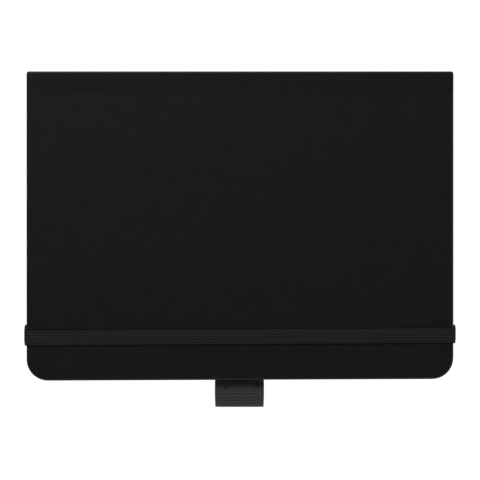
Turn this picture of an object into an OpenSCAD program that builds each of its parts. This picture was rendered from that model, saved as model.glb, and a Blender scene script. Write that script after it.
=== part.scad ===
// Pocket notebook: case-bound, with an elastic closing band and an elastic pen loop.
// It lies on its back cover. X runs along the spine, +Y points from the fore-edge to the spine and +Z
// points up, out of the front cover. The origin is the middle of the back cover's outer face.

/* [Cover] */
// Length of the cover, along the spine
cover_length = 150; // [120:1:220]
// Width of the cover, from the fore-edge to the outside of the spine
cover_width = 108.4; // [90:0.2:160]
// Thickness of the two boards
board_thick = 1.8; // [1.2:0.1:3]
// Thickness of the covering material
skin_thick = 0.35; // [0.2:0.05:0.6]
// Radius of the two rounded corners at the fore-edge
corner_radius = 7.5; // [3:0.5:12]
// Distance from the outside of the spine to the edge of a board
joint_width = 7.4; // [6:0.1:10]
// Depth of the shallow groove over each joint
joint_dip = 0.15; // [0.05:0.05:0.5]
// Width of the covering material that is turned in over a board's edges
turn_in = 12; // [8:1:16]

/* [Pages] */
// Number of sewn signatures
signature_count = 6; // [6:1:6]
// Thickness of one signature
signature_thick = 1.4; // [0.8:0.1:2.5]
// Thickness of one endpaper
endpaper_thick = 0.15; // [0.1:0.05:0.25]
// Thickness of the first loose leaf
leaf_thick = 0.1; // [0.08:0.01:0.15]
// Overhang of the cover past the pages, at the head, tail and fore-edge
square_width = 2; // [1:0.1:4]
// Radius of the rounded corners of the pages
page_corner_radius = 6; // [2:0.5:10]

/* [Elastic band] */
// Width of the closing band
band_width = 5.4; // [4:0.1:8]
// Thickness of the closing band
band_thick = 0.7; // [0.5:0.05:1]
// Distance from the fore-edge to the band's middle on the front, at its left end
band_from_edge_left = 14.7; // [10:0.1:25]
// Distance from the fore-edge to the band's middle on the front, at its right end
band_from_edge_right = 15.6; // [10:0.1:25]
// Distance from the fore-edge to the slits in the back cover
slit_from_edge = 16.6; // [10:0.1:25]
// Distance from the middle of the cover to each slit
slit_x = 60; // [50:1:66]
// Length of the glued tails behind the slits
anchor_tail = 11; // [8:1:20]

/* [Pen loop] */
// Width of the webbing, along the fore-edge
loop_width = 17; // [10:0.5:25]
// Thickness of the webbing
loop_thick = 0.8; // [0.5:0.1:1.2]
// Radius of the space that holds the pen
pen_radius = 3.6; // [3:0.1:5]
// How far the loop stands out past the fore-edge
loop_reach = 9.5; // [9:0.1:14]
// Height of the middle of the pen space above the back cover's outer face
pen_height = 5.2; // [4.6:0.1:6]
// Length of the tab that is glued under the back pastedown
tab_length = 18; // [10:1:30]

/* [Hidden] */
$fn = 64;

skin_black = "#1c1c1d";
board_grey = "#8d877c";
paper_cream = "#efe8d6";
thread_white = "#e9e6dd";
elastic_black = "#202022";

half_length = cover_length / 2;
fore_y = -cover_width / 2;
spine_y = cover_width / 2;
board_edge_y = spine_y - joint_width;

// Heights of the layers, counted up from the back cover's outer face
cover_thick = 2 * skin_thick + board_thick + endpaper_thick;
block_bottom = cover_thick + endpaper_thick;
block_top = block_bottom + signature_count * signature_thick;
front_inner_z = block_top + endpaper_thick;
total_thick = front_inner_z + cover_thick;

// The sewn edge of the pages and the layers behind it
fold_y = spine_y - 2.1;
glue_thick = 0.25;
mull_thick = 0.2;
page_fore_y = fore_y + square_width + 0.2;
page_half_length = half_length - square_width;

// The case's spine: its skin turns the corner to each joint with this radius
case_corner = 0.9;
inlay_thick = 0.8;
case_corner_y = spine_y - case_corner;

// How far the papers keep from the hinge line and from the cover's edges
hinge_gap = 0.1;
leaf_gap = 0.2;
pastedown_margin = 2.6;

fit_gap = 0.05;
band_slit_width = 0.8;
slit_y = fore_y + slit_from_edge;

// The band's returns lie in channels pressed into the back cover, level with its outer face
channel_half = band_width / 2 + 0.1;

// The glued tail of the loop lies in a pressed recess, level with the turn-in
tab_top = 2 * skin_thick + board_thick;
tab_bottom = tab_top - loop_thick;
loop_clearance = 0.7;
neck_y = fore_y - loop_clearance;
neck_z = (tab_bottom + tab_top) / 2;

// A plate from y_from to y_to whose two corners at y_from are rounded
module corner_plate(half_x, y_from, y_to, r, z_from, z_to) {
    translate([0, 0, z_from])
        linear_extrude(z_to - z_from)
            union() {
                translate([-half_x + r, y_from])
                    square([2 * (half_x - r), y_to - y_from]);
                translate([-half_x, y_from + r])
                    square([2 * half_x, y_to - y_from - r]);
                for (side = [-1, 1])
                    translate([side * (half_x - r), y_from + r])
                        circle(r);
            }
}

// A box given by its lowest and highest corners
module span_box(low, high) {
    translate(low)
        cube(high - low);
}

// Turns a profile drawn in the Y-Z plane into a bar along X
module along_x(x_from, x_to) {
    translate([x_from, 0, 0])
        rotate([90, 0, 90])
            linear_extrude(x_to - x_from)
                children();
}

// Mirrors the back cover's shapes to the front cover's height
module front_side() {
    translate([0, 0, total_thick])
        mirror([0, 0, 1])
            children();
}

module board_blank() {
    corner_plate(half_length - skin_thick, fore_y + skin_thick, board_edge_y,
        corner_radius - skin_thick, skin_thick, skin_thick + board_thick);
}

// The covering material of one cover: outer sheet, wrapped edges and turn-ins
module cover_wrap() {
    difference() {
        corner_plate(half_length, fore_y, board_edge_y, corner_radius, 0, tab_top);
        corner_plate(half_length - skin_thick, fore_y + skin_thick, board_edge_y + 1,
            corner_radius - skin_thick, skin_thick, skin_thick + board_thick);
        span_box([-half_length + turn_in, fore_y + turn_in, skin_thick],
            [half_length - turn_in, board_edge_y + 1, tab_top + 1]);
    }
}

// Endpaper glued to a board: it lies over the turn-ins and dips to the board between them
module pastedown_sheet() {
    dip_floor = skin_thick + board_thick;
    sheet_top = tab_top + endpaper_thick;
    difference() {
        union() {
            corner_plate(half_length - pastedown_margin, fore_y + pastedown_margin, fold_y - hinge_gap,
                corner_radius - pastedown_margin, tab_top, sheet_top);
            span_box([-half_length + turn_in, fore_y + turn_in, dip_floor],
                [half_length - turn_in, board_edge_y, sheet_top]);
        }
        span_box([-half_length + turn_in + endpaper_thick, fore_y + turn_in + endpaper_thick,
                dip_floor + endpaper_thick],
            [half_length - turn_in - endpaper_thick, board_edge_y - endpaper_thick, sheet_top + 1]);
    }
}

module free_leaf(z_from, z_to) {
    corner_plate(page_half_length, page_fore_y, fold_y - leaf_gap, page_corner_radius, z_from, z_to);
}

// The flexible strip over one joint, with its shallow groove and its turned-in ends
joint_steps = 10;
joint_span = case_corner_y - board_edge_y;
function dip_at(t) = joint_dip * sin(180 * t);
function joint_line(z_off) = [
    for (i = [0 : joint_steps])
        [board_edge_y + joint_span * i / joint_steps, z_off + dip_at(i / joint_steps)]
];
function reversed(points) = [for (i = [len(points) - 1 : -1 : 0]) points[i]];

module joint_strip() {
    along_x(-half_length, half_length)
        polygon(concat(joint_line(0), reversed(joint_line(skin_thick))));
    for (side = [-1, 1])
        mirror([side < 0 ? 1 : 0, 0, 0])
            along_x(half_length - turn_in, half_length)
                polygon(concat(joint_line(skin_thick), reversed(joint_line(2 * skin_thick))));
}

module back_board() {
    color(board_grey)
        difference() {
            board_blank();
            tab_recess();
            for (side = [-1, 1])
                mirror([side < 0 ? 1 : 0, 0, 0]) {
                    anchor_recess();
                    band_channel(skin_thick);
                }
        }
}

// Pressed recess in the back board for the pen loop's tab
module tab_recess() {
    span_box([-loop_width / 2, fore_y - 1, tab_bottom],
        [loop_width / 2, fore_y + tab_length, tab_top + 1]);
}

// Slit and inner recess of the back board for one end of the band, on the +X side
module anchor_recess() {
    band_slit();
    span_box([slit_x - anchor_tail, slit_y - band_width / 2, skin_thick + board_thick - band_thick],
        [slit_x + fit_gap, slit_y + band_width / 2, tab_top + 1]);
}

module band_slit() {
    span_box([slit_x, slit_y - band_width / 2, -1],
        [slit_x + band_slit_width, slit_y + band_width / 2, tab_top + 1]);
}

// Pressed channel for one return, on the +X side, grown by the thickness of what lines it
module band_channel(grow) {
    span_box([slit_x - grow, slit_y - channel_half - grow, -1],
        [half_length + 1, slit_y + channel_half + grow, band_thick + grow]);
}

module back_cover_skin() {
    color(skin_black)
        difference() {
            union() {
                cover_wrap();
                for (side = [-1, 1])
                    mirror([side < 0 ? 1 : 0, 0, 0])
                        intersection() {
                            band_channel(skin_thick);
                            span_box([0, fore_y, 0], [half_length, board_edge_y, tab_top]);
                        }
            }
            tab_recess();
            for (side = [-1, 1])
                mirror([side < 0 ? 1 : 0, 0, 0]) {
                    band_channel(0);
                    band_slit();
                }
        }
}

module back_joint_skin() {
    color(skin_black)
        joint_strip();
}

// The back pastedown also rises over the pen loop's tab
module back_pastedown() {
    tab_end_y = fore_y + tab_length;
    color(paper_cream)
        difference() {
            union() {
                pastedown_sheet();
                span_box([-loop_width / 2 - endpaper_thick, fore_y + turn_in, skin_thick + board_thick],
                    [loop_width / 2 + endpaper_thick, tab_end_y + endpaper_thick, tab_top + endpaper_thick]);
            }
            span_box([-loop_width / 2, fore_y, tab_bottom], [loop_width / 2, tab_end_y, tab_top]);
        }
}

module back_flyleaf() {
    color(paper_cream)
        free_leaf(cover_thick, block_bottom);
}

// Sewing: each signature has three long stitches inside its fold, joined by links across the folds
thread_radius = 0.15;
thread_tunnel = 0.4;
stitch_length = 34;
stitch_pitch = 42;
stitch_y = fold_y - 0.9;

function signature_top(index) = block_top - (index - 1) * signature_thick;
function signature_middle(index) = signature_top(index) - signature_thick / 2;

// A gathering of folded sheets: flat at the top and bottom, rounded at the fold
module signature(index) {
    top = signature_top(index) - (index == 1 ? leaf_thick : 0);
    bottom = signature_top(index) - signature_thick;
    fold_radius = (top - bottom) / 2;
    color(paper_cream)
        difference() {
            union() {
                corner_plate(page_half_length, page_fore_y, fold_y - fold_radius,
                    page_corner_radius, bottom, top);
                translate([-page_half_length, fold_y - fold_radius, bottom + fold_radius])
                    rotate([0, 90, 0])
                        cylinder(r = fold_radius, h = 2 * page_half_length);
            }
            for (place = [-1 : 1])
                span_box(
                    [place * stitch_pitch - stitch_length / 2 - thread_tunnel,
                        stitch_y - thread_tunnel / 2, signature_middle(index) - thread_tunnel / 2],
                    [place * stitch_pitch + stitch_length / 2 + thread_tunnel,
                        stitch_y + thread_tunnel / 2, signature_middle(index) + thread_tunnel / 2]);
        }
}

module signature_1() { signature(1); }
module signature_2() { signature(2); }
module signature_3() { signature(3); }
module signature_4() { signature(4); }
module signature_5() { signature(5); }
module signature_6() { signature(6); }

module sewing_thread() {
    color(thread_white) {
        for (index = [1 : signature_count])
            for (place = [-1 : 1])
                translate([place * stitch_pitch - stitch_length / 2, stitch_y, signature_middle(index)])
                    rotate([0, 90, 0])
                        cylinder(r = thread_radius, h = stitch_length);
        for (station = [-1.5 : 1 : 1.5])
            link_stitch(station * stitch_pitch);
    }
}

// One thread across the folds, from the first signature to the last, against the gauze
module link_stitch(x) {
    translate([x, fold_y + thread_radius, signature_middle(signature_count)])
        cylinder(r = thread_radius,
            h = signature_middle(1) - signature_middle(signature_count));
}

module spine_glue() {
    color("#d9cda6")
        difference() {
            span_box([-page_half_length, fold_y, block_bottom],
                [page_half_length, fold_y + glue_thick, block_top - leaf_thick]);
            for (station = [-1.5 : 1 : 1.5])
                span_box([station * stitch_pitch - thread_tunnel / 2, fold_y - 1, block_bottom - 1],
                    [station * stitch_pitch + thread_tunnel / 2, fold_y + 1, block_top + 1]);
        }
}

module mull_lining() {
    mull_inset = 8;
    color("#e4ddca")
        span_box([-page_half_length + mull_inset, fold_y + glue_thick + thread_radius / 2, block_bottom],
            [page_half_length - mull_inset, fold_y + glue_thick + thread_radius / 2 + mull_thick,
                block_top - leaf_thick]);
}

// One end of the band: the return on the back cover, the pass through the slit and the glued tail
module elastic_anchor() {
    half = band_width / 2;
    tail_top = skin_thick + board_thick;
    span_box([slit_x + fit_gap, slit_y - half, 0],
        [half_length + fit_gap + band_thick, slit_y + half, band_thick]);
    span_box([slit_x + fit_gap, slit_y - half, 0],
        [slit_x + fit_gap + band_thick, slit_y + half, tail_top]);
    span_box([slit_x - anchor_tail, slit_y - half, tail_top - band_thick],
        [slit_x + fit_gap + band_thick, slit_y + half, tail_top]);
}

module elastic_anchor_left() {
    color(elastic_black)
        mirror([1, 0, 0])
            elastic_anchor();
}

module elastic_anchor_right() {
    color(elastic_black)
        elastic_anchor();
}

module pen_loop_tab() {
    color(elastic_black)
        span_box([-loop_width / 2, fore_y, tab_bottom],
            [loop_width / 2, fore_y + tab_length, tab_top]);
}

// Card strip inside the case's spine
inlay_low = case_corner + fit_gap;
inlay_high = total_thick - case_corner - fit_gap;
inlay_y = spine_y - skin_thick - inlay_thick;

module spine_inlay() {
    color(board_grey)
        span_box([-half_length + skin_thick, inlay_y, inlay_low],
            [half_length - skin_thick, spine_y - skin_thick, inlay_high]);
}

// Covering material of the spine: an outer sheet with two rounded edges, closed and turned in at the ends
module spine_skin() {
    color(skin_black)
        difference() {
            along_x(-half_length, half_length)
                union() {
                    translate([inlay_y - skin_thick, case_corner])
                        square([spine_y - inlay_y + skin_thick, total_thick - 2 * case_corner]);
                    translate([case_corner_y, case_corner])
                        spine_edge();
                    translate([case_corner_y, total_thick - case_corner])
                        mirror([0, 1])
                            spine_edge();
                }
            span_box([-half_length + skin_thick, inlay_y, case_corner],
                [half_length - skin_thick, spine_y - skin_thick, total_thick - case_corner]);
            span_box([-half_length + turn_in, inlay_y - 1, case_corner],
                [half_length - turn_in, inlay_y + 0.5, total_thick - case_corner]);
        }
}

// Quarter ring that turns the skin from the joint to the spine
module spine_edge() {
    difference() {
        circle(case_corner);
        circle(case_corner - skin_thick);
        translate([-2 * case_corner, -case_corner])
            square([2 * case_corner, 2 * case_corner]);
        translate([-case_corner, 0])
            square([2 * case_corner, case_corner]);
    }
}

module front_joint_skin() {
    color(skin_black)
        front_side()
            joint_strip();
}

module front_board() {
    color(board_grey)
        front_side()
            board_blank();
}

module front_cover_skin() {
    color(skin_black)
        front_side()
            cover_wrap();
}

module front_pastedown() {
    color(paper_cream)
        front_side()
            pastedown_sheet();
}

module front_flyleaf() {
    color(paper_cream)
        free_leaf(block_top, front_inner_z);
}

module first_leaf() {
    color(paper_cream)
        free_leaf(block_top - leaf_thick, block_top);
}

// The closing band: a front run and two side runs that lean back to the slits
module elastic_band() {
    inner_x = half_length + fit_gap;
    outer_x = inner_x + band_thick;
    inner_z = total_thick + fit_gap;
    outer_z = inner_z + band_thick;
    low_z = band_thick + fit_gap;
    half = band_width / 2;
    left_y = fore_y + band_from_edge_left;
    right_y = fore_y + band_from_edge_right;
    color(elastic_black) {
        translate([0, 0, inner_z])
            linear_extrude(band_thick)
                polygon([[-outer_x, left_y - half], [outer_x, right_y - half],
                    [outer_x, right_y + half], [-outer_x, left_y + half]]);
        along_x(-outer_x, -inner_x)
            polygon([[slit_y - half, low_z], [slit_y + half, low_z],
                [left_y + half, outer_z], [left_y - half, outer_z]]);
        along_x(inner_x, outer_x)
            polygon([[slit_y - half, low_z], [slit_y + half, low_z],
                [right_y + half, outer_z], [right_y - half, outer_z]]);
    }
}

// The pen loop: a band of webbing round the pen space, drawn together to a neck at the cover.
// Its straight arms cross the two circles a little inside their tangents, so the solids join cleanly.
arm_inset = 0.05;
pen_y = fore_y - loop_reach + pen_radius + loop_thick;
neck_radius = loop_thick / 2;
arm_at_pen = pen_radius + loop_thick - arm_inset;
arm_at_neck = neck_radius - arm_inset;
neck_run = norm([pen_y - neck_y, pen_height - neck_z]);
neck_angle = atan2(pen_height - neck_z, pen_y - neck_y);
arm_angle = acos((arm_at_neck - arm_at_pen) / neck_run);
crotch_run = neck_run * (loop_thick - arm_at_neck) / (arm_at_pen - arm_at_neck);

function at_angle(radius, angle) = [radius * cos(angle), radius * sin(angle)];
function from_neck(radius, side) = [neck_y, neck_z] + at_angle(radius, neck_angle + side * arm_angle);
function from_pen(radius, side) = [pen_y, pen_height] + at_angle(radius, neck_angle + side * arm_angle);

module pen_loop() {
    color(elastic_black)
        difference() {
            along_x(-loop_width / 2, loop_width / 2)
                union() {
                    translate([pen_y, pen_height])
                        circle(pen_radius + loop_thick);
                    translate([neck_y, neck_z])
                        circle(neck_radius);
                    polygon([from_neck(arm_at_neck, -1), from_pen(arm_at_pen, -1),
                        from_pen(arm_at_pen, 1), from_neck(arm_at_neck, 1)]);
                }
            along_x(-loop_width, loop_width)
                union() {
                    translate([pen_y, pen_height])
                        circle(pen_radius);
                    polygon([from_pen(arm_at_pen - loop_thick, -1), [pen_y, pen_height],
                        from_pen(arm_at_pen - loop_thick, 1),
                        [neck_y, neck_z] + at_angle(crotch_run, neck_angle)]);
                }
        }
}

back_board();
back_cover_skin();
back_joint_skin();
back_pastedown();
back_flyleaf();
signature_1();
signature_2();
signature_3();
signature_4();
signature_5();
signature_6();
sewing_thread();
spine_glue();
mull_lining();
elastic_anchor_left();
elastic_anchor_right();
pen_loop_tab();
spine_inlay();
spine_skin();
front_joint_skin();
front_board();
front_cover_skin();
front_pastedown();
front_flyleaf();
first_leaf();
elastic_band();
pen_loop();
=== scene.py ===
import math
import random

import bmesh
import bpy
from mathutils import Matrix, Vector


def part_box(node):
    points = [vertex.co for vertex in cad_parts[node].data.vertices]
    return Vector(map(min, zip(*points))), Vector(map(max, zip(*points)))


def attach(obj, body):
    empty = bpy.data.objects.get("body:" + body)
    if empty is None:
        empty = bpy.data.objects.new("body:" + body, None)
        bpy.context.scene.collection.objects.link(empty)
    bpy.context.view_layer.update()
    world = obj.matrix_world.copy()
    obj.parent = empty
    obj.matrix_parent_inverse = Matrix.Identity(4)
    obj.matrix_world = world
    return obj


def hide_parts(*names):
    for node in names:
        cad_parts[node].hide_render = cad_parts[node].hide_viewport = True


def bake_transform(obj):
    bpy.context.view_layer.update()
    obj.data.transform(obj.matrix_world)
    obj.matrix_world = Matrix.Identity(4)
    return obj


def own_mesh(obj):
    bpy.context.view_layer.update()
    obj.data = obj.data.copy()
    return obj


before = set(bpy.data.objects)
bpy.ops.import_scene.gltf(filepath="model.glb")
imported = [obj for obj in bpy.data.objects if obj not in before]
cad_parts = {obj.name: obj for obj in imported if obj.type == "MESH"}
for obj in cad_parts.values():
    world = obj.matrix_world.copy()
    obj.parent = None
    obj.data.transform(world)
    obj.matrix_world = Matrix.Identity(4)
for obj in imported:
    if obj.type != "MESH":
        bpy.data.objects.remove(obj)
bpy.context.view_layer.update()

# ---- sizes, all in metres
MM = 0.001
# Points nearer to each other than this are one point
same_place = 0.001 * MM

wrap_low, wrap_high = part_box("front_cover_skin")
back_low, back_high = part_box("back_cover_skin")
board_low, board_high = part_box("front_board")
back_board_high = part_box("back_board")[1]
case_low, case_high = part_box("spine_skin")
joint_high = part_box("front_joint_skin")[1]
fly_low, fly_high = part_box("front_flyleaf")
leaf_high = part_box("first_leaf")[1]
back_fly_low, back_fly_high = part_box("back_flyleaf")
band_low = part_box("elastic_band")[0]
anchor_low, anchor_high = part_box("elastic_anchor_right")
loop_low, loop_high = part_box("pen_loop")
tab_low, tab_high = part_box("pen_loop_tab")
fold_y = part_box("signature_6")[1].y

half_length = wrap_high.x
fore_y = wrap_low.y
board_end_y = wrap_high.y
corner_y = joint_high.y
spine_y = case_high.y
top_z = wrap_high.z
skin = board_low.x - wrap_low.x
corner_r = 7.5 * MM
edge_r = 0.6 * MM
turn_in = 12 * MM
turn_x = half_length - turn_in
turn_y = fore_y + turn_in

# The pages are a little thinner at the fore-edge, so the front cover droops there
droop_start = -14 * MM
droop_full = -34 * MM
droop_slope = 0.03


def droop(y):
    """How far the front cover sinks at y: level, then bending, then straight."""
    bend = min(max(droop_start - y, 0), droop_start - droop_full)
    straight = max(droop_full - y, 0)
    return -droop_slope * (bend * bend / (2 * (droop_start - droop_full)) + straight)


# Elastic band: its middle on the front cover at the left and right ends, and how it wraps the edges
band_width = 5.4 * MM
band_thick = 0.68 * MM
rib_count = 6
rib_depth = 0.16 * MM
left_y = band_low.y + band_width / 2
right_y = fore_y + 15.6 * MM
band_gap = 0.03 * MM
side_gap = 0.12 * MM
wrap_r = edge_r + band_gap + band_thick / 2
side_r = wrap_r + side_gap
side_x = half_length - edge_r + side_r

# The front cover sits a little out of square on the back one
skew = 0.0042


def skewed(points):
    """Points of the front cover, turned slightly about the joint."""
    return [Vector((p.x, p.y + skew * p.x * smooth(board_end_y - p.y, 0, board_end_y - fore_y), p.z))
            for p in points]


def pressed(y, z):
    """Height of a point of the page block after the cover has pressed it."""
    share = (z - back_fly_low.z) / (fly_high.z - back_fly_low.z)
    return z + droop(y) * min(max(share, 0), 1)


def smooth(value, low, high):
    """0 below low, 1 above high, and an S-curve between them."""
    t = min(max((value - low) / (high - low), 0), 1)
    return t * t * (3 - 2 * t)


# ---- mesh building


def new_object(name, data):
    """An object in the scene that holds the data."""
    thing = bpy.data.objects.new(name, data)
    bpy.context.scene.collection.objects.link(thing)
    return thing


def add_piece(name, points, faces, material, uvs=None, painted_relief_shade=None, sharp=40):
    """A mesh object, smooth except over edges sharper than so many degrees; painted_relief_shade is 0 in a
    groove, where the colour is darkened as painted shade.
    """
    mesh = bpy.data.meshes.new(name)
    mesh.from_pydata([tuple(p) for p in points], [], faces)
    bm = bmesh.new()
    bm.from_mesh(mesh)
    bmesh.ops.recalc_face_normals(bm, faces=bm.faces[:])
    bm.to_mesh(mesh)
    bm.free()
    mesh.polygons.foreach_set("use_smooth", [True] * len(mesh.polygons))
    mesh.set_sharp_from_angle(angle=math.radians(sharp))
    if uvs:
        layer = mesh.uv_layers.new(name="UVMap")
        for loop in mesh.loops:
            layer.data[loop.index].uv = uvs[loop.vertex_index]
    # Stored per vertex for the colour: painted shade in the grooves, lighter on the crests
    if painted_relief_shade:
        mesh.attributes.new("painted_relief_shade", "FLOAT", "POINT").data.foreach_set("value", painted_relief_shade)
    mesh.materials.append(material)
    return new_object(name, mesh)


def quarter_turn(steps):
    """Angles from 0 to a quarter turn, both ends included."""
    return [math.pi / 2 * k / steps for k in range(steps + 1)]


def grid_faces(lines, places, start=0):
    """Faces of a grid of so many lines of points, whose first point has the index start."""
    corners = [start + i * places + j for i in range(lines - 1) for j in range(places - 1)]
    return [(at, at + 1, at + places + 1, at + places) for at in corners]


def slab(upper, lower):
    """Points and faces of a closed sheet between two grids of the same size."""
    n, m = len(upper), len(upper[0])
    points = [p for line in upper + lower for p in line]
    under = n * m
    faces = []
    for a, b, c, d in grid_faces(n, m):
        faces += [(a, d, c, b), (under + a, under + b, under + c, under + d)]
    for i in range(n - 1):
        for k in (i * m, i * m + m - 1):
            faces.append((k, under + k, under + k + m, k + m))
    for j in range(m - 1):
        for k in (j, under - m + j):
            faces.append((k, k + 1, under + k + 1, under + k))
    return points, faces


def tube(rings):
    """Points and faces of a closed tube through rings of points, capped at both ends."""
    n, m = len(rings), len(rings[0])
    points = [p for ring in rings for p in ring]
    faces = [tuple(range(m)), tuple((n - 1) * m + j for j in range(m))]
    for i in range(n - 1):
        for j in range(m):
            k = (j + 1) % m
            faces.append((i * m + j, i * m + k, (i + 1) * m + k, (i + 1) * m + j))
    return points, faces


def join_parts(parts):
    """One list of points and faces from several."""
    points, faces = [], []
    for part_points, part_faces in parts:
        start = len(points)
        points += part_points
        faces += [tuple(start + k for k in face) for face in part_faces]
    return points, faces


def spread(low, high, step):
    """Even places from low to high, about step apart."""
    count = max(1, round((high - low) / step))
    return [low + (high - low) * i / count for i in range(count + 1)]


def columns_along(half_x, y_from, radius, places, arcs=9):
    """Fore-edge outline from left to right: (x, y, outward x, outward y)."""
    left = []
    for a in quarter_turn(arcs):
        out = (-math.cos(a), -math.sin(a))
        left.append((-half_x + radius + radius * out[0], y_from + radius + radius * out[1], *out))
    middle = [(x, y_from, 0, -1) for x in places if abs(x) < half_x - radius - same_place]
    right = [(-x, y, -out_x, out_y) for x, y, out_x, out_y in reversed(left)]
    return left + middle + right


# Rows between a rounded edge and the first straight row
near_rows = 4


def plate_columns(half_x, y_from, radius, places, rows):
    """Columns of (x, y) over a plate with two rounded corners; rows are the places in Y above them."""
    grid = []
    for x, y0, _, _ in columns_along(half_x, y_from, radius, places):
        low = [y0 + (rows[0] - y0) * k / near_rows for k in range(near_rows)]
        grid.append([(x, y) for y in low + rows])
    return grid


def plate(half_x, y_from, y_to, radius, bottom, top, places, rows=None):
    """Closed plate whose faces follow the height functions bottom(x, y) and top(x, y)."""
    rows = rows or spread(y_from + radius + 2 * MM, y_to, 6 * MM)
    grid = plate_columns(half_x, y_from, radius, places, rows)
    upper = [[Vector((x, y, top(x, y))) for x, y in line] for line in grid]
    lower = [[Vector((x, y, bottom(x, y))) for x, y in line] for line in grid]
    return slab(upper, lower)


def mirrored(values):
    """The values and their opposites, in order and without doubles."""
    return sorted({round(-v, 7) for v in values} | {round(v, 7) for v in values})


# ---- materials


def feed(tree, socket, value):
    """Links a socket to another node's output, or sets a plain value on it."""
    if isinstance(value, bpy.types.NodeSocket):
        tree.links.new(value, socket)
    else:
        socket.default_value = value


def add_node(tree, kind, inputs=None, **settings):
    node = tree.nodes.new(kind)
    for key, value in settings.items():
        setattr(node, key, value)
    for key, value in (inputs or {}).items():
        feed(tree, node.inputs[key], value)
    return node


def set_inputs(shader, **values):
    """Links or sets a shader's inputs, whose names are written with underscores for spaces."""
    for key, value in values.items():
        feed(shader.id_data, shader.inputs[key.replace("_", " ")], value)


def new_material(name, **shader_values):
    material = bpy.data.materials.new(name)
    material.use_nodes = True
    shader = material.node_tree.nodes["Principled BSDF"]
    set_inputs(shader, **shader_values)
    return material, material.node_tree, shader


def noise(tree, scale, detail=2, roughness=0.5, squeeze=(1, 1, 1)):
    """Noise fixed to the object, squeezed so many times along each axis."""
    place = add_node(tree, "ShaderNodeTexCoord").outputs["Object"]
    place = add_node(tree, "ShaderNodeMapping", {"Vector": place, "Scale": squeeze}).outputs["Vector"]
    inputs = {"Vector": place, "Scale": scale, "Detail": detail, "Roughness": roughness}
    return add_node(tree, "ShaderNodeTexNoise", inputs).outputs["Fac"]


def remap(tree, value, low, high, out_low, out_high):
    inputs = {"Value": value, "From Min": low, "From Max": high, "To Min": out_low, "To Max": out_high}
    return add_node(tree, "ShaderNodeMapRange", inputs).outputs["Result"]


def blend_colours(tree, share, first, second):
    """The Mix node's colours are its sockets 6 and 7, and the mixed colour is its output 2."""
    return add_node(tree, "ShaderNodeMix", {0: share, 6: first, 7: second}, data_type="RGBA").outputs[2]


def calculate(tree, operation, first, second):
    return add_node(tree, "ShaderNodeMath", {0: first, 1: second}, operation=operation).outputs[0]


def weighted(tree, *shares):
    """Sum of several values, each times its weight."""
    total = 0
    for value, weight in shares:
        total = calculate(tree, "ADD", calculate(tree, "MULTIPLY", value, weight), total)
    return total


def bump(tree, height, distance, strength=1.0, normal=None):
    inputs = {"Height": height, "Distance": distance, "Strength": strength}
    if normal:
        inputs["Normal"] = normal
    return add_node(tree, "ShaderNodeBump", inputs).outputs["Normal"]


def grey(level, warmth=0.0):
    return (level * (1 + warmth), level, level * (1 - warmth), 1)


def stored(tree, name):
    """A value that the mesh holds at each vertex."""
    return add_node(tree, "ShaderNodeAttribute", attribute_name=name).outputs["Fac"]


def skin_material():
    """Matte black soft-touch covering: fine pebble, faint mottling, edges rubbed a little."""
    material, tree, shader = new_material("cover_skin", Specular_IOR_Level=0.4)
    mottle = remap(tree, noise(tree, 160, 5, 0.7), 0.3, 0.7, 0, 1)
    wear = stored(tree, "wear")
    base = blend_colours(tree, mottle, grey(0.0022), grey(0.0032))
    cloud = remap(tree, noise(tree, 230, 4, 0.65), 0.3, 0.7, 0.41, 0.45)
    soft = bump(tree, noise(tree, 420, 3, 0.6), 0.004 * MM)
    set_inputs(shader, Base_Color=blend_colours(tree, wear, base, grey(0.005, 0.02)),
               Roughness=weighted(tree, (cloud, 1), (wear, -0.06)),
               Normal=bump(tree, noise(tree, 3600, 2, 0.6), 0.02 * MM, 0.6, soft))
    return material


def board_material():
    """Grey board: pressed fibres with flecks."""
    material, tree, shader = new_material("greyboard", Roughness=0.92)
    fibres = noise(tree, 700, 5, 0.7, squeeze=(1, 1, 7))
    flecks = remap(tree, noise(tree, 2600, 1), 0.66, 0.72, 0, 0.7)
    base = blend_colours(tree, remap(tree, fibres, 0.35, 0.65, 0, 1), grey(0.20, 0.08), grey(0.29, 0.1))
    set_inputs(shader, Base_Color=blend_colours(tree, flecks, base, grey(0.09, 0.1)),
               Normal=bump(tree, fibres, 0.05 * MM))
    return material


def paper_material(name, level, warmth):
    """Uncoated paper: faint formation clouds and fine tooth."""
    material, tree, shader = new_material(name, Roughness=0.88, Specular_IOR_Level=0.25)
    cloud = remap(tree, noise(tree, 420, 4, 0.6), 0.3, 0.7, 0, 1)
    tooth = noise(tree, 5200, 3, 0.65)
    set_inputs(shader, Normal=bump(tree, tooth, 0.012 * MM, 0.5),
               Base_Color=blend_colours(tree, cloud, grey(level * 0.96, warmth), grey(level, warmth * 0.9)))
    return material


def thread_material():
    """Waxed linen: fuzz drawn out along the thread."""
    material, tree, shader = new_material("linen_thread", Roughness=0.8, Sheen_Weight=0.2)
    fuzz = noise(tree, 3000, 3, 0.6, squeeze=(1, 4, 4))
    set_inputs(shader, Base_Color=blend_colours(tree, fuzz, (0.62, 0.58, 0.48, 1), (0.8, 0.77, 0.68, 1)),
               Normal=bump(tree, fuzz, 0.02 * MM))
    return material


def glue_material():
    """Dried bookbinding glue: amber, uneven and slightly glossy."""
    material, tree, shader = new_material("spine_glue", Specular_IOR_Level=0.5)
    drag = noise(tree, 260, 4, 0.6, squeeze=(1, 1, 5))
    set_inputs(shader, Base_Color=blend_colours(tree, drag, (0.52, 0.4, 0.2, 1), (0.72, 0.62, 0.4, 1)),
               Roughness=remap(tree, drag, 0.3, 0.7, 0.28, 0.5), Normal=bump(tree, drag, 0.06 * MM))
    return material


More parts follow.
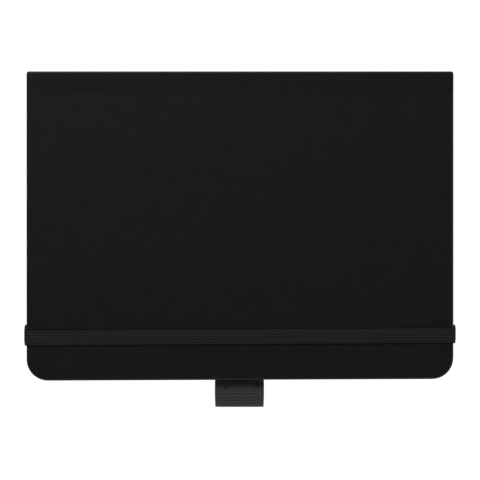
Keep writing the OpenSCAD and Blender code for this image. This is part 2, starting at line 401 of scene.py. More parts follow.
def mull_material():
    """Cotton gauze with slubs in its yarns."""
    material, tree, shader = new_material("mull_gauze", Roughness=0.9, Sheen_Weight=0.15)
    slub = noise(tree, 1500, 3, 0.7)
    set_inputs(shader, Base_Color=blend_colours(tree, slub, (0.58, 0.54, 0.44, 1), (0.78, 0.75, 0.66, 1)),
               Normal=bump(tree, slub, 0.03 * MM))
    return material


def yarn_material(name, dark, light, pitch, specular, sheen):
    """Woven elastic: slanting rows of yarn bights and fuzz over the modelled ribs; the grooves are painted
    dark as shade and the crests lighter.
    """
    material, tree, shader = new_material(name, Roughness=0.6, Specular_IOR_Level=specular,
                                          Sheen_Weight=sheen, Sheen_Roughness=0.4)
    uv = add_node(tree, "ShaderNodeTexCoord").outputs["UV"]
    parts = add_node(tree, "ShaderNodeSeparateXYZ", {"Vector": uv}).outputs
    slant = weighted(tree, (parts["Y"], 1), (parts["X"], 0.35))
    bights = calculate(tree, "SINE", calculate(tree, "MULTIPLY", slant, 2 * math.pi / pitch), 0)
    bight_shade = remap(tree, bights, -1, 1, 0, 1)
    fuzz = noise(tree, 4200, 3, 0.6)
    # The stored value paints shade into the grooves and light onto the crests
    mix = weighted(tree, (stored(tree, "painted_relief_shade"), 0.7), (bight_shade, 0.14), (fuzz, 0.2))
    fine = bump(tree, fuzz, 0.025 * MM, 0.6)
    set_inputs(shader, Base_Color=blend_colours(tree, mix, dark, light),
               Normal=bump(tree, bights, 0.03 * MM, 0.5, fine))
    return material


SKIN = skin_material()
BOARD = board_material()
ENDPAPER = paper_material("endpaper", 0.74, 0.09)
PAGE = paper_material("page_paper", 0.78, 0.085)
THREAD = thread_material()
GLUE = glue_material()
MULL = mull_material()
# The dark colours are painted shade in the grooves, the light ones the crests
ELASTIC = yarn_material("band_elastic", grey(0.001), grey(0.026), 0.5 * MM, 0.12, 0.0)
WEBBING = yarn_material("loop_webbing", grey(0.007), grey(0.060), 0.56 * MM, 0.3, 0.3)


# ---- covers


def inset_of(x, y):
    """Distance of a point inside the cover's outline, over its three free edges."""
    side = half_length - abs(x)
    front = y - fore_y
    if side < corner_r and front < corner_r:
        return corner_r - math.hypot(corner_r - side, corner_r - front)
    return min(side, front)


# How rubbed an edge is, and how far from it the wear fades
edge_wear = 0.85
wear_reach = 0.9 * MM


def rubbed(distance, amount=edge_wear):
    """Wear at a distance from an edge, where it is as much as amount."""
    return amount * math.exp(-max(distance, 0) / wear_reach)


def cover_wear(co):
    return rubbed(inset_of(co.x, co.y))


def inner_target(x, y, out_x, out_y):
    """Where a point of the outline ends on the turn-in's inner edge."""
    tight = 0.4 * MM
    if out_y == 0:
        return Vector((math.copysign(turn_x, x), y))
    if out_x == 0:
        return Vector((x, turn_y))
    return Vector((math.copysign(turn_x - tight, x) + tight * out_x, turn_y + tight * (1 + out_y)))


# How far the rings of a turn-in lie from its edge: 0 at the edge, 1 at its inner end
turn_in_shares = (1, 0.8, 0.6, 0.42, 0.28, 0.18, 0.11, 0.06, 0.025)
pleat_height = 0.12 * MM


def pleat(share, out_x, out_y):
    """Height of the folds of a turn-in at the rounded corners, where it is gathered."""
    if not 0.05 < abs(out_x) < 0.998:
        return 0.0
    turn = math.atan2(abs(out_y), abs(out_x)) / (math.pi / 2)
    fan = math.sin(math.pi * turn) * math.sin(math.pi * min(share * 3.2, 1))
    return pleat_height * fan * abs(math.sin(4.5 * math.pi * turn))


def wrap_surface(outer_z, inner_z, places, rows, outer_lift, skip):
    """The covering of one board as one open surface: turn-ins, rounded edges and the outer sheet."""
    start_y = fore_y + corner_r
    side_y = [start_y + (rows[0] - start_y) * k / near_rows for k in range(near_rows)] + rows
    path = [(-half_length, y, -1, 0) for y in reversed(side_y)]
    path += columns_along(half_length, fore_y, corner_r, places)[1:-1]
    path += [(half_length, y, 1, 0) for y in side_y]

    up = 1 if outer_z > inner_z else -1
    rings = []
    for share in turn_in_shares:
        ring = []
        for x, y, out_x, out_y in path:
            near_edge = Vector((x - out_x * edge_r, y - out_y * edge_r))
            place = near_edge.lerp(inner_target(x, y, out_x, out_y), share)
            ring.append(Vector((place.x, place.y, inner_z - up * pleat(share, out_x, out_y))))
        rings.append(ring)
    angles = quarter_turn(5)
    for base_z, towards, turns in ((inner_z, up, angles), (outer_z, -up, angles[::-1])):
        for a in turns:
            inset = edge_r * (1 - math.sin(a))
            rise = edge_r * (1 - math.cos(a))
            rings.append([Vector((x - out_x * inset, y - out_y * inset, base_z + towards * rise))
                          for x, y, out_x, out_y in path])

    points = [p for ring in rings for p in ring]
    faces = grid_faces(len(rings), len(path))
    grid = plate_columns(half_length - edge_r, fore_y + edge_r, corner_r - edge_r, places, rows)
    outer_faces = grid_faces(len(grid), len(grid[0]), len(points))
    points += [Vector((x, y, outer_z)) for line in grid for x, y in line]
    for face in outer_faces:
        middle = (points[face[0]] + points[face[2]]) / 2
        if not skip(middle.x, middle.y):
            faces.append(face)
    lifted = []
    for p in points:
        on_outside = abs(p.z - outer_z) < edge_r + same_place
        lift = outer_lift(p.x, p.y) if on_outside else 0
        lifted.append(Vector((p.x, p.y, p.z + lift)))
    return lifted, faces


def thickened(points, faces, amount):
    """Merges a surface's doubled points and gives it a thickness towards its middle."""
    bm = bmesh.new()
    verts = [bm.verts.new(p) for p in points]
    for face in faces:
        bm.faces.new([verts[k] for k in face])
    bmesh.ops.remove_doubles(bm, verts=bm.verts[:], dist=same_place)
    bmesh.ops.recalc_face_normals(bm, faces=bm.faces[:])
    middle = sum(points, Vector()) / len(points)
    outward = sum(f.calc_area() * f.normal.dot(f.calc_center_median() - middle) for f in bm.faces)
    if outward < 0:
        bmesh.ops.reverse_faces(bm, faces=bm.faces[:])
    bm.normal_update()
    bm.verts.index_update()
    count = len(bm.verts)
    result = [v.co.copy() for v in bm.verts] + [v.co - v.normal * amount for v in bm.verts]
    outer = [tuple(v.index for v in f.verts) for f in bm.faces]
    inner = [tuple(count + k for k in reversed(face)) for face in outer]
    rims = []
    for edge in bm.edges:
        if len(edge.link_loops) == 1:
            loop = edge.link_loops[0]
            a, b = loop.vert.index, loop.link_loop_next.vert.index
            rims.append((b, a, count + a, count + b))
    bm.free()
    return result, outer + inner + rims


def skin_piece(name, surface, amount, wear):
    """Covering material: a surface given a thickness, with a rule for its wear, from 0 to 1."""
    piece = add_piece(name, *thickened(*surface, amount), SKIN, sharp=50)
    attribute = piece.data.attributes.new("wear", "FLOAT", "POINT")
    attribute.data.foreach_set("value", [wear(v.co) for v in piece.data.vertices])
    return piece


cover_places = mirrored(spread(0, half_length - corner_r, 4 * MM))


def nowhere(x, y):
    return 0


def front_cover():
    """Covering of the front board, drooping towards the fore-edge."""
    rows = spread(fore_y + corner_r + 2 * MM, board_end_y, 2.6 * MM)
    points, faces = wrap_surface(top_z, wrap_low.z, cover_places, rows, nowhere, nowhere)
    points = skewed(Vector((p.x, p.y, p.z + droop(p.y))) for p in points)
    piece = skin_piece("front_cover_wrap", (points, faces), skin, cover_wear)
    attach(piece, "front_cover")
    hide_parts("front_cover_skin")


# The channels pressed into the back cover, where the ends of the band lie
slit_x = 60 * MM
slit_width = 0.8 * MM
slit_y = (anchor_low.y + anchor_high.y) / 2
channel_half = 2.8 * MM
slit_half = channel_half - 0.1 * MM
channel_depth = 0.7 * MM
channel_slope = 0.45 * MM
tail_length = 11 * MM


def channel_lift(x, y):
    """How deep the back cover's outside is pressed in at a place."""
    along = smooth(abs(x), slit_x - channel_slope, slit_x)
    across = 1 - smooth(abs(y - slit_y), channel_half, channel_half + channel_slope)
    return channel_depth * along * across


def in_slit(x, y):
    return slit_x < abs(x) < slit_x + slit_width and abs(y - slit_y) < slit_half


def back_cover():
    """Covering of the back board, with the two pressed channels and their slits."""
    half_steps = [channel_slope * k / 3 for k in range(4)]
    near_slit = [slit_x - step for step in half_steps] + [slit_x + slit_width]
    places = mirrored(spread(0, slit_x - 2 * MM, 4 * MM) + near_slit
                      + spread(slit_x + 2 * MM, half_length - corner_r, 2 * MM))
    channel_rows = [slit_y + side * (channel_half + step) for side in (-1, 1) for step in half_steps]
    channel_rows += [slit_y - slit_half, slit_y + slit_half]
    channel_rows += spread(slit_y - channel_half + 0.6 * MM, slit_y + channel_half - 0.6 * MM, 1.2 * MM)
    channel_top = slit_y + channel_half + channel_slope
    low_rows = spread(fore_y + corner_r + 2 * MM, slit_y - channel_half - channel_slope - 0.6 * MM, 2 * MM)
    rows = sorted(low_rows + channel_rows + spread(channel_top + 2 * MM, board_end_y, 3 * MM))
    surface = wrap_surface(back_low.z, back_high.z, places, rows, channel_lift, in_slit)
    piece = skin_piece("back_cover_wrap", surface, skin, cover_wear)
    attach(piece, "book")
    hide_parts("back_cover_skin")


def front_board():
    """The board inside the front cover, bent with it."""
    radius = corner_r - skin
    points, faces = plate(board_high.x, board_low.y, board_high.y, radius,
                          lambda x, y: board_low.z + droop(y), lambda x, y: board_high.z + droop(y),
                          cover_places)
    piece = add_piece("front_board_bent", skewed(points), faces, BOARD)
    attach(piece, "front_cover")
    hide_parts("front_board")


# ---- endpapers


def telegraph(x, y):
    """1 where a pastedown lies on the bare board, 0 over the turn-ins, with soft steps."""
    soft = 1.1 * MM
    side = smooth(turn_x - abs(x), 0, soft)
    front = smooth(y - turn_y, 0, soft)
    joint = smooth(board_end_y - y, 0, soft)
    return side * front * joint


def over_tab(x, y):
    """1 over the glued tab of the pen loop, with soft edges."""
    soft = 0.9 * MM
    side = 1 - smooth(abs(x), tab_high.x + 0.1 * MM, tab_high.x + soft)
    front = 1 - smooth(y, tab_high.y + 0.1 * MM, tab_high.y + soft)
    return side * front


def fine_steps(start, count):
    """Places close together, for a soft step in the paper."""
    return [start + 0.2 * MM * k for k in range(count)]


def pastedown_places():
    """Places in X, close together at the loop's tab and at the turn-ins."""
    flat = spread(tab_high.x + 4 * MM, turn_x - 4 * MM, 7 * MM)
    return mirrored([0.0] + fine_steps(tab_high.x, 6) + flat + fine_steps(turn_x - 1.2 * MM, 8))


def pastedown_rows(y_to):
    """Places in Y, close together at the turn-in, the tab and the joint."""
    flat = spread(tab_high.y + 4 * MM, board_end_y - 4 * MM, 6 * MM)
    turn_rows = fine_steps(turn_y - 0.2 * MM, 9)
    joint_rows = fine_steps(board_end_y - 1.3 * MM, 8)
    return sorted(turn_rows + fine_steps(tab_high.y, 6) + flat + joint_rows + [y_to])


def pastedown(node, facing):
    """Endpaper glued inside a cover: facing is -1 in the front one, which droops, and 1 in the back one."""
    low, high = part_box(node)
    in_front = facing < 0
    thick = 0.15 * MM
    dip = high.z - low.z - thick
    face_z = low.z if in_front else high.z

    def free_face(x, y):
        if in_front:
            return face_z + dip * telegraph(x, y) + droop(y)
        return face_z - dip * telegraph(x, y) * (1 - over_tab(x, y))

    def glued_face(x, y):
        return free_face(x, y) - facing * thick

    radius = corner_r - (half_length - high.x)
    bottom, top = (free_face, glued_face) if in_front else (glued_face, free_face)
    points, faces = plate(high.x, low.y, high.y, radius, bottom, top, pastedown_places(),
                          pastedown_rows(high.y))
    if in_front:
        points = skewed(points)
    piece = add_piece(f"{node}_sheet", points, faces, ENDPAPER)
    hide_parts(node)
    return piece


def leaf_places(half_x):
    return mirrored(spread(0, half_x - 6 * MM, 12 * MM))


page_corner_r = 6 * MM


def loose_leaf(node, material, step):
    """One flat leaf with rounded fore-edge corners, pressed with the block; its rows are a step apart."""
    low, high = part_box(node)
    rows = spread(low.y + page_corner_r + 2 * MM, high.y, step)
    points, faces = plate(high.x, low.y, high.y, page_corner_r, lambda x, y: pressed(y, low.z),
                          lambda x, y: pressed(y, high.z), leaf_places(high.x), rows)
    piece = add_piece(f"{node}_sheet", points, faces, material)
    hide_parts(node)
    return piece


# ---- page block
sheets_per_signature = 8
draws = random.Random(11)


def folded_sheet(low_z, high_z, order, single):
    """One sheet folded round the inner ones; a single one has lost its upper leaf."""
    pitch = (high_z - low_z) / (2 * sheets_per_signature)
    half = pitch * 0.4
    low = low_z + (order + 0.5) * pitch
    high = high_z - (order + 0.5) * pitch
    radius = (high - low) / 2
    middle = (high + low) / 2
    fold_centre = fold_y - (high_z - low_z) / 2
    half_x = fly_high.x + draws.uniform(-0.05, 0.04) * MM
    y_from = fly_low.y + draws.uniform(-0.03, 0.07) * MM
    flat_rows = spread(fly_low.y + 8 * MM, fold_centre, 15 * MM)
    outer, inner = [], []
    for x, y0, _, _ in columns_along(half_x, y_from, page_corner_r, leaf_places(half_x), arcs=7):
        places = [y0, (y0 + flat_rows[0]) / 2] + flat_rows
        for line, side in ((outer, 1), (inner, -1)):
            lower = [Vector((x, y, pressed(y, low - side * half))) for y in places]
            fold = []
            for k in range(1, 8):
                a = math.pi * k / 8
                reach = radius + side * half
                y = fold_centre + reach * math.sin(a)
                fold.append(Vector((x, y, middle - reach * math.cos(a))))
            upper = [Vector((x, y, pressed(y, high + side * half))) for y in reversed(places)]
            line.append(lower + fold + (upper[:1] if single else upper))
    return slab(outer, inner)


def signature_heights(index):
    """Lowest and highest Z of a gathering; the first one's outermost leaf is the loose first leaf."""
    low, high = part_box(f"signature_{index}")
    return low.z, leaf_high.z if index == 1 else high.z


def signature(index):
    """A gathering of folded sheets."""
    low_z, high_z = signature_heights(index)
    parts = [folded_sheet(low_z, high_z, order, index == 1 and order == 0)
             for order in range(sheets_per_signature)]
    piece = add_piece(f"signature_{index}_sheets", *join_parts(parts), PAGE)
    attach(piece, "book")
    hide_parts(f"signature_{index}")


def twisted(start, end, radius):
    """Thread of three plies twisted round each other, from start to end."""
    along = (end - start).normalized()
    side = along.orthogonal().normalized()
    other = along.cross(side)
    length = (end - start).length
    rings = []
    for distance in spread(0, length, 0.35 * MM):
        turn = 2 * math.pi * distance / (2.2 * MM)
        ring = []
        for k in range(12):
            a = 2 * math.pi * k / 12
            reach = radius * (0.86 + 0.14 * math.cos(3 * (a - turn)))
            ring.append(start + along * distance + (side * math.cos(a) + other * math.sin(a)) * reach)
        rings.append(ring)
    return tube(rings)


def sewing():
    """Three long stitches inside each fold and four links across the folds."""
    radius = 0.15 * MM
    pitch, length = 42 * MM, 34 * MM
    low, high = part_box("sewing_thread")
    stitch_y = low.y + radius
    link_y = high.y - radius
    parts, middles = [], []
    for index in range(1, 7):
        z = sum(signature_heights(index)) / 2
        middles.append(z)
        for place in (-1, 0, 1):
            parts.append(twisted(Vector((place * pitch - length / 2, stitch_y, z)),
                                 Vector((place * pitch + length / 2, stitch_y, z)), radius))
    for station in (-1.5, -0.5, 0.5, 1.5):
        parts.append(twisted(Vector((station * pitch, link_y, middles[-1])),
                             Vector((station * pitch, link_y, middles[0])), radius))
    piece = add_piece("sewing_thread_twisted", *join_parts(parts), THREAD)
    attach(piece, "book")
    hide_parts("sewing_thread")


def glue_layer():
    """Glue drawn into the valleys between the folds."""
    low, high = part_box("spine_glue")
    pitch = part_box("signature_3")[1].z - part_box("signature_3")[0].z
    upper, lower = [], []
    for x in spread(low.x, high.x, 1.5 * MM):
        brush = 0.03 * MM * math.sin(x / MM * 0.7) * math.sin(x / MM * 0.23 + 1)
        outer_line, inner_line = [], []
        for z in spread(low.z, high.z, 0.175 * MM):
            valley = abs(math.cos(math.pi * (z - back_fly_high.z) / pitch))
            outer_line.append(Vector((x, high.y - 0.05 * MM * valley + brush - 0.03 * MM, z)))
            inner_line.append(Vector((x, low.y - 0.12 * MM * valley ** 4, z)))
        upper.append(outer_line)
        lower.append(inner_line)
    piece = add_piece("spine_glue_layer", *slab(upper, lower), GLUE)
    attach(piece, "book")
    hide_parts("spine_glue")


def gauze():
    """Open woven lining: threads pass over and under each other."""
    low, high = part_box("mull_lining")
    middle_y = (low.y + high.y) / 2
    pitch, radius, sway = 1.0 * MM, 0.06 * MM, 0.05 * MM
    ups = spread(low.x + radius, high.x - radius, pitch)
    alongs = spread(low.z + 0.4 * MM, high.z - 0.4 * MM, pitch)

    def yarn(points, across):
        section = [radius * (Vector((0, math.cos(a), 0)) + across * math.sin(a))
                   for a in (math.pi / 3 * k for k in range(6))]
        return tube([[p + offset for offset in section] for p in points])

    parts = []
    for i, x in enumerate(ups):
        line = [Vector((x, middle_y + sway * math.cos(math.pi * (i + (z - alongs[0]) / pitch)), z))
                for z in spread(low.z, high.z, pitch / 3)]
        parts.append(yarn(line, Vector((1, 0, 0))))
    for j, z in enumerate(alongs):
        line = [Vector((x, middle_y - sway * math.cos(math.pi * (j + (x - ups[0]) / pitch)), z))
                for x in spread(low.x, high.x, pitch / 3)]
        parts.append(yarn(line, Vector((0, 0, 1))))
    piece = add_piece("mull_gauze", *join_parts(parts), MULL)
    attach(piece, "book")
    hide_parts("mull_lining")


# ---- case spine and joints


def end_profile(depth):
    """The sheet's run in X at one end: its turn-in and the rounded end; (x from the end, inset)."""
    radius = depth / 2
    run = [(turn_in, depth), (turn_in * 0.6, depth), (2 * MM, depth)]
    for k in range(7):
        a = math.pi * k / 6
        run.append((radius * (1 - math.sin(a)), radius * (1 + math.cos(a))))
    return run


def wrapped_strip(section, depth):
    """A sheet along X with turned-in ends; section gives (y, z, inward y, inward z) along its width."""
    end = [(-half_length + x, inset) for x, inset in end_profile(depth)]
    places = mirrored(spread(0, half_length - 2 * MM, 5 * MM))
    flat = [(x, 0) for x in places if abs(x) < half_length - 2 * MM]
    run = end + flat + [(-x, inset) for x, inset in reversed(end)]
    points = [Vector((x, y + in_y * inset, z + in_z * inset))
              for x, inset in run for y, z, in_y, in_z in section]
    return points, grid_faces(len(run), len(section))


# The two layers of a turned-in end stay a little apart
thin_skin = skin * 0.96

# How far a joint strip lies below the board's covering where they meet, and the slit between them
joint_drop = 0.15 * MM
joint_gap = 0.015 * MM


def joint_section(side):
    """Section of a joint strip from the board to the spine's corner; side 1 is the front, -1 the back."""
    outer_z = top_z if side > 0 else back_low.z
    start_y = board_end_y + joint_gap
    section = []
    for t in spread(0, 1, 1 / 26):
        y = start_y + (corner_y - start_y) * t
        section.append((y, outer_z - side * joint_drop * (1 - t), 0, -side))
    return section


def joint_wear(co):
    return rubbed(half_length - abs(co.x), 0.5)


def joint_strip(side, name, node):
    surface = wrapped_strip(joint_section(side), 2 * skin)
    piece = skin_piece(name, surface, thin_skin, joint_wear)
    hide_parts(node)
    return piece


# The turned-in layer of the spine: how deep it lies, and how far it stays from the spine's corners
spine_depth = spine_y - case_low.y
lining_margin = 1.3 * MM
spine_corner_r = 0.5 * MM
spine_crown = 0.02 * MM


def spine_outline():
    """Outer line of the case's spine: a corner, the flat back with a slight crown, a corner."""
    low = back_low.z + spine_corner_r
    high = top_z - spine_corner_r
    corner = [(spine_y - spine_corner_r * (1 - math.sin(a)), spine_corner_r * (1 - math.cos(a)))
              for a in quarter_turn(6)]
    outline = [(corner_y, back_low.z)] + [(y, back_low.z + rise) for y, rise in corner]
    for z in spread(low, high, 0.93 * MM)[1:-1]:
        t = (z - low) / (high - low)
        outline.append((spine_y - spine_crown * math.sin(math.pi * t), z))
    return outline + [(y, top_z - rise) for y, rise in reversed(corner)] + [(corner_y, top_z)]


def spine_section():
    """The outline with each point's way to the turned-in layer, which lies flat inside the spine."""
    outline = spine_outline()
    lengths = [0]
    for (y, z), (next_y, next_z) in zip(outline, outline[1:]):
        lengths.append(lengths[-1] + math.hypot(next_y - y, next_z - z))
    low = back_low.z + lining_margin
    high = top_z - lining_margin
    section = []
    for (y, z), length in zip(outline, lengths):
        inner_z = low + (high - low) * length / lengths[-1]
        section.append((y, z, (case_low.y - y) / spine_depth, (inner_z - z) / spine_depth))
    return section


def spine_wear(co):
    """The spine is rubbed along its corners and at its ends."""
    corner = min(abs(co.z - back_low.z), abs(top_z - co.z))
    return max(0.15 * math.exp(-corner / (0.8 * MM)), rubbed(half_length - abs(co.x)))


def spine_case():
    surface = wrapped_strip(spine_section(), spine_depth)
    piece = skin_piece("spine_wrap", surface, thin_skin, spine_wear)
    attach(piece, "spine")
    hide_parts("spine_skin")


# ---- elastic band


def ribbed_profile():
    """Section of the ribbed elastic, (across, out, painted shade) points round it; the grooves and a narrow
    strip along both edges are painted dark, as shade and as the shadow beside the cover.
    """
    upper = []
    # Width of the painted shadow line along each edge of the band
    painted_shadow_edge = 0.22 * MM
    for t in spread(0, 1, 1 / (6 * rib_count)):
        across = (t - 0.5) * band_width
        from_edge = band_width / 2 - abs(across)
        rib = abs(math.sin(math.pi * rib_count * t)) ** 0.9
        rounding = min(1, 5 * min(t, 1 - t) + 0.25)
        # Painted shade: darker in the grooves, and a painted shadow line along both edges
        painted_rib_shade = rib - 1.5 * (1 - smooth(from_edge, 0.5 * painted_shadow_edge, 1.5 * painted_shadow_edge))
        upper.append((across, (band_thick / 2 - rib_depth * (1 - rib)) * rounding, painted_rib_shade))
    return upper + [(across, -out, painted_rib_shade) for across, out, painted_rib_shade in reversed(upper)]


def ribbon(name, path):
    """Elastic along a path of (x, y, z, outward x, outward z); its width stays along Y."""
    profile = ribbed_profile()
    rings, uvs, painted_relief_shade, run = [], [], [], 0.0
    for k, (x, y, z, out_x, out_z) in enumerate(path):
        if k:
            run += math.dist(path[k - 1][:3], (x, y, z))
        rings.append([Vector((x + out_x * out, y + across, z + out_z * out)) for across, out, _ in profile])
        uvs += [(across, run) for across, _, _ in profile]
        # The profile's third value is the painted shade of the grooves and edges
        painted_relief_shade += [rib for _, _, rib in profile]
    piece = add_piece(name, *tube(rings), ELASTIC, uvs, painted_relief_shade, sharp=60)
    return piece


def band_height(y):
    """Height of the elastic's middle over the drooping cover."""
    return top_z + droop(y) + band_gap + band_thick / 2


def corner_path(side, centre_z, y, turns):
    """The band's bend over a cover's edge: turn 0 is upright, 1 flat on the front, -1 flat on the back."""
    path = []
    for t in turns:
        a = math.pi / 2 * t
        out_x, out_z = side * math.cos(a), math.sin(a)
        path.append((side * (half_length - edge_r) + side_r * out_x, y, centre_z + wrap_r * out_z,
                     out_x, out_z))
    return path


def band_front():
    """The run over the front cover, from edge to edge."""
    path = []
    flat = half_length - edge_r
    for x in spread(-flat, flat, 2.5 * MM):
        t = (x + flat) / (2 * flat)
        y = left_y + (right_y - left_y) * t
        path.append((x, y, band_height(y), 0, 1))
    piece = ribbon("elastic_band_front", path)
    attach(piece, "band")
    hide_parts("elastic_band")


def band_side(side, name):
    """Over the cover's edge and down one side, leaning to the slit."""
    y_top = left_y if side < 0 else right_y
    z_top = band_height(y_top) - wrap_r
    z_low = channel_depth + edge_r
    path = corner_path(side, z_top, y_top, [1 - k / 6 for k in range(6)])
    for t in spread(0, 1, 0.06):
        lean = smooth(t, 0, 0.4)
        bulge = 0.14 * MM * smooth(t, 0, 0.25) * (1 - smooth(t, 0.6, 1))
        path.append((side * (side_x + bulge), y_top + (slit_y - y_top) * lean,
                     z_top + (z_low - z_top) * t, side, 0))
    piece = ribbon(name, path)
    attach(piece, "band")
    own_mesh(piece)


def band_anchor(side, name, node):
    """One end of the band: round the back edge, along the channel, through the slit, glued inside."""
    centre_z = channel_depth + edge_r
    path = corner_path(side, centre_z, slit_y, [-k / 6 for k in range(7)])
    return_z = centre_z - wrap_r
    tail_z = back_board_high.z - 0.35 * MM
    slit_middle = slit_x + slit_width / 2
    bend = 0.32 * MM
    for x in spread(half_length - edge_r, slit_middle + bend, 1.5 * MM)[1:-1]:
        path.append((side * x, slit_y, return_z, 0, -1))
    for a in quarter_turn(4):
        path.append((side * (slit_middle + bend - bend * math.sin(a)), slit_y,
                     return_z + bend * (1 - math.cos(a)), -side * math.sin(a), -math.cos(a)))
    for a in quarter_turn(4):
        path.append((side * (slit_middle - bend * (1 - math.cos(a))), slit_y,
                     tail_z - bend + bend * math.sin(a), -side * math.cos(a), -math.sin(a)))
    for x in spread(slit_middle - bend, slit_x - tail_length, 2 * MM)[1:]:
        path.append((side * x, slit_y, tail_z, 0, -1))
    piece = ribbon(name, path)
    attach(piece, "book")
    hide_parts(node)


# ---- pen loop
webbing_width = loop_high.x - loop_low.x
webbing_thick = 0.72 * MM
pen_r = 3.6 * MM
loop_outer_r = 4.4 * MM
loop_centre = Vector((loop_low.y + loop_outer_r, loop_high.z - loop_outer_r))
loop_shift = -0.2 * MM


def loop_path():
    """Middle line of the webbing in the Y-Z plane: (y, z, thickness), tab, round the pen, tab."""
    neck = Vector((fore_y - 0.7 * MM, (tab_low.z + tab_high.z) / 2))
    quarter = (tab_high.z - tab_low.z) / 4
    radius = (pen_r + loop_outer_r) / 2
    toward = neck - loop_centre
    facing = math.atan2(toward.y, toward.x)
    reach = math.acos(radius / toward.length)
    tab_thick = 1.96 * quarter
    turns = 72
    start, stop = facing - reach, facing + reach - 2 * math.pi

    def on_loop(angle):
        """The loop is squarer where it turns over beside the pages, and a little longer both ways."""
        across, up = math.cos(angle), math.sin(angle)
        power = 2.2 + 2.6 * smooth(across, -0.1, 0.4) * smooth(up, -0.1, 0.4)
        stretch = radius / (abs(across) ** power + abs(up) ** power) ** (1 / power)
        longer = 1.08 if across < 0 else 1 + 0.14 * smooth(up, 0, 0.7)
        return loop_centre + stretch * Vector((across * longer, up))

    def layer(side, angle):
        """One layer: pressed thin in the tab, then out to the loop at its full thickness."""
        path = [(y, neck.y + side * quarter, tab_thick) for y in spread(tab_high.y, fore_y, 1.2 * MM)]
        path.append((neck.x + 0.2 * MM, neck.y + side * quarter * 1.02, tab_thick))
        begin = neck + Vector((-0.05 * MM, side * quarter * 1.1))
        end = on_loop(angle)
        for t in spread(0.12, 1, 0.11):
            p = begin.lerp(end, t)
            path.append((p.x, p.y, tab_thick + (webbing_thick - tab_thick) * smooth(t, 0, 0.8)))
        return path

    loop = []
    for k in range(1, turns):
        p = on_loop(start + (stop - start) * k / turns)
        loop.append((p.x, p.y, webbing_thick))
    return smoothed(layer(-1, start) + loop + layer(1, stop)[::-1], 3)


def smoothed(path, rounds):
    """Each round moves a point, and its thickness, half way to the middle of its neighbours."""
    for _ in range(rounds):
        inner = [tuple((a + 2 * b + c) / 4 for a, b, c in zip(*path[k - 1:k + 2]))
                 for k in range(1, len(path) - 1)]
        path = [path[0]] + inner + [path[-1]]
    return path


def resampled(path, step):
    """The same path with points an even step apart."""
    runs = [0.0]
    for k in range(1, len(path)):
        runs.append(runs[-1] + math.dist(path[k - 1][:2], path[k][:2]))
    result, k = [], 0
    for run in spread(0, runs[-1], step):
        while k < len(runs) - 2 and runs[k + 1] < run:
            k += 1
        t = min(max((run - runs[k]) / (runs[k + 1] - runs[k]), 0), 1)
        result.append((run, tuple(a + (b - a) * t for a, b in zip(path[k], path[k + 1]))))
    return result


# Weave of the webbing: ribs along it, rows across it, and two cords in each selvedge
warp_pitch = 0.9 * MM
weft_pitch = 1.12 * MM
cord_pitch = 0.93 * MM
selvedge = 2 * cord_pitch
weave_depth = 0.16 * MM
# Two small dents near the cover's edge, painted dark in colour as shade in them
dimples = ((-5.2 * MM, -57.0 * MM), (5.6 * MM, -56.1 * MM))
dimple_r = 0.6 * MM


def weave_height_and_shade(across, run, open_rows):
    """Height of the weave from 0 to 1, also its painted shade; its rows open where the webbing bends
    outwards, and where they stay closed, near the cover, the colour is paler, painted light in the cover's
    shadow.
    """
    from_edge = webbing_width / 2 - abs(across)
    rib = abs(math.sin(math.pi * across / warp_pitch)) ** 0.7
    row = 0.5 + 0.5 * math.cos(2 * math.pi * run / weft_pitch + 0.5 * math.sin(across / MM * 0.8))
    # Closed rows give a higher mean and a paler colour: painted light in the cover's shadow
    middle = rib * (1 - 0.8 * open_rows) + 0.85 * row * open_rows
    cord = abs(math.sin(math.pi * from_edge / cord_pitch)) ** 0.6 * (0.8 + 0.2 * row)
    in_selvedge = 1 - smooth(from_edge, selvedge - 0.1 * MM, selvedge + 0.1 * MM)
    return middle * (1 - in_selvedge) + cord * in_selvedge


def pen_loop():
    """One strip of woven elastic webbing, glued under the pastedown and bent round the pen."""
    half_width = webbing_width / 2
    count = 2 * round(half_width / (0.14 * MM))
    samples = [half_width * (2 * k / count - 1) for k in range(count + 1)]
    route = resampled(loop_path(), weft_pitch / 7)
    length = route[-1][0]
    centre_y, centre_z = loop_centre
    rings, uvs, painted_relief_shade = [], [], []
    for k, (run, (y, z, thick)) in enumerate(route):
        before = route[max(k - 1, 0)][1]
        after = route[min(k + 1, len(route) - 1)][1]
        along = Vector((after[0] - before[0], after[1] - before[1])).normalized()
        out = Vector((along.y, -along.x))
        in_loop = 1 - smooth(abs(run - length / 2), 10.5 * MM, 13 * MM)
        open_rows = smooth((centre_y - y) / pen_r, -0.45, -0.05)
        narrow = 1.018 - 0.012 * smooth((centre_y - y) / pen_r, 0, 1.1)
        upper, lower = [], []
        for across in samples:
            # The height shapes the weave and is also its painted shade: dark in grooves and dents, paler
            # near the cover
            height = weave_height_and_shade(across, run, open_rows)
            if z > centre_z:
                for spot_x, spot_y in dimples:
                    near = math.hypot(across + loop_shift - spot_x, y - spot_y) / dimple_r
                    height -= 1.3 * math.exp(-near * near)
            rounding = min(1, 0.4 + (half_width - abs(across)) / (0.4 * MM))
            reach = (thick / 2 - weave_depth * in_loop * (1 - height)) * rounding
            for side, line in ((1, upper), (-1, lower)):
                p = Vector((y, z)) + out * side * reach
                line.append((Vector((across * narrow + loop_shift, p.x, p.y)), across, max(height, 0)))
        ring = upper + lower[::-1]
        rings.append([p for p, _, _ in ring])
        uvs += [(across, run) for _, across, _ in ring]
        painted_relief_shade += [height for _, _, height in ring]
    piece = add_piece("pen_loop_webbing", *tube(rings), WEBBING, uvs, painted_relief_shade, sharp=70)
    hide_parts("pen_loop", "pen_loop_tab")
    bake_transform(piece)


front_cover()
back_cover()
front_board()

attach(pastedown("front_pastedown", -1), "front_cover")
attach(pastedown("back_pastedown", 1), "book")

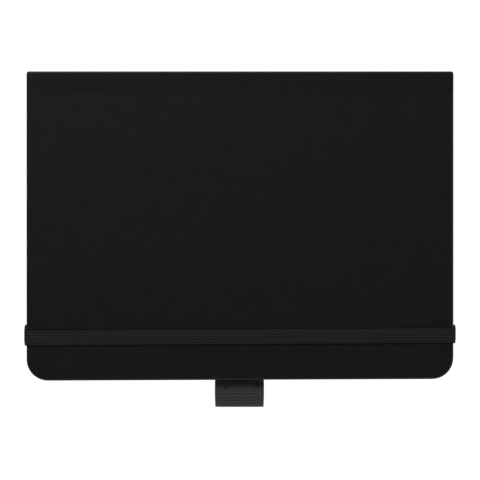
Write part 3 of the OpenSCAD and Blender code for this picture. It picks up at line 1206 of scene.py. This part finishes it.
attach(loose_leaf("back_flyleaf", ENDPAPER, 8 * MM), "book")
front_fly = loose_leaf("front_flyleaf", ENDPAPER, 0.8 * MM)
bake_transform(front_fly)
first = loose_leaf("first_leaf", PAGE, 1.5 * MM)
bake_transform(first)

for number in range(1, 7):
    signature(number)
sewing()
glue_layer()
gauze()

front_joint = joint_strip(1, "front_joint_strip", "front_joint_skin")
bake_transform(front_joint)
back_joint = joint_strip(-1, "back_joint_strip", "back_joint_skin")
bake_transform(back_joint)
spine_case()

band_front()
band_side(-1, "elastic_band_left")
band_side(1, "elastic_band_right")
band_anchor(-1, "elastic_end_left", "elastic_anchor_left")
band_anchor(1, "elastic_end_right", "elastic_anchor_right")
pen_loop()

for kept in ("back_board", "spine_inlay"):
    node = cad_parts[kept]
    node.data.materials.clear()
    node.data.materials.append(BOARD)


# ---- floor, light and camera
# Brightness of the background, a little past white
white = 1.05


def floor():
    """A plain white table that only the camera sees, and only from above, so the underside is lit too."""
    size = 3.0
    height = -0.02 * MM
    corners = [(-size, -size, height), (size, -size, height), (size, size, height), (-size, size, height)]
    mesh = bpy.data.meshes.new("floor")
    mesh.from_pydata(corners, [], [(0, 1, 2, 3)])
    table = new_object("floor", mesh)
    material, tree, shader = new_material("white_table", Base_Color=(0, 0, 0, 1), Roughness=1.0,
                                          Emission_Color=(1, 1, 1, 1), Emission_Strength=white)
    seen = add_node(tree, "ShaderNodeLightPath").outputs["Is Camera Ray"]
    below = add_node(tree, "ShaderNodeNewGeometry").outputs["Backfacing"]
    clear = add_node(tree, "ShaderNodeBsdfTransparent")
    mix = add_node(tree, "ShaderNodeMixShader", {"Fac": calculate(tree, "SUBTRACT", seen, below)})
    tree.links.new(clear.outputs[0], mix.inputs[1])
    tree.links.new(shader.outputs[0], mix.inputs[2])
    tree.links.new(mix.outputs[0], tree.nodes["Material Output"].inputs["Surface"])
    mesh.materials.append(material)


def softbox(name, place, size, power, aim=(0, 0, 0)):
    data = bpy.data.lights.new(name, "AREA")
    data.shape = "RECTANGLE"
    data.size, data.size_y = size
    data.energy = power
    lamp = new_object(name, data)
    lamp.location = place
    lamp.rotation_mode = "QUATERNION"
    lamp.rotation_quaternion = (Vector(aim) - Vector(place)).to_track_quat("-Z", "Y")
    lamp.visible_camera = False


def surroundings():
    """White to the camera; to the object, bright at the horizon and darker overhead."""
    world = bpy.data.worlds.new("studio")
    world.use_nodes = True
    bpy.context.scene.world = world
    tree = world.node_tree
    background = tree.nodes["Background"]
    direction = add_node(tree, "ShaderNodeTexCoord").outputs["Generated"]
    height = add_node(tree, "ShaderNodeSeparateXYZ", {"Vector": direction}).outputs["Z"]
    glow = remap(tree, height, 0.1, 0.9, 0.32, 0.06)
    seen = add_node(tree, "ShaderNodeLightPath").outputs["Is Camera Ray"]
    strength = calculate(tree, "MAXIMUM", glow, calculate(tree, "MULTIPLY", seen, white))
    tree.links.new(strength, background.inputs["Strength"])
    background.inputs["Color"].default_value = (1, 1, 1, 1)


def camera():
    """Straight above the notebook, far away, with a long lens."""
    view_width = 168.6 * MM
    data = bpy.data.cameras.new("camera")
    data.sensor_width = 36
    data.lens = 400
    distance = view_width * data.lens / data.sensor_width
    eye = new_object("camera", data)
    eye.location = (0, -5.04 * MM, top_z + distance)
    data.clip_start, data.clip_end = 0.1, 20
    bpy.context.scene.camera = eye


bpy.context.scene.view_settings.view_transform = "Standard"
floor()
surroundings()
softbox("key", (-0.24, 0.58, 0.68), (0.55, 0.33), 4.1)
softbox("side", (1.1, -0.1, 0.35), (0.5, 0.4), 2.5)
softbox("front", (0.0, -1.2, 0.8), (2.2, 1.2), 5.8)
camera()
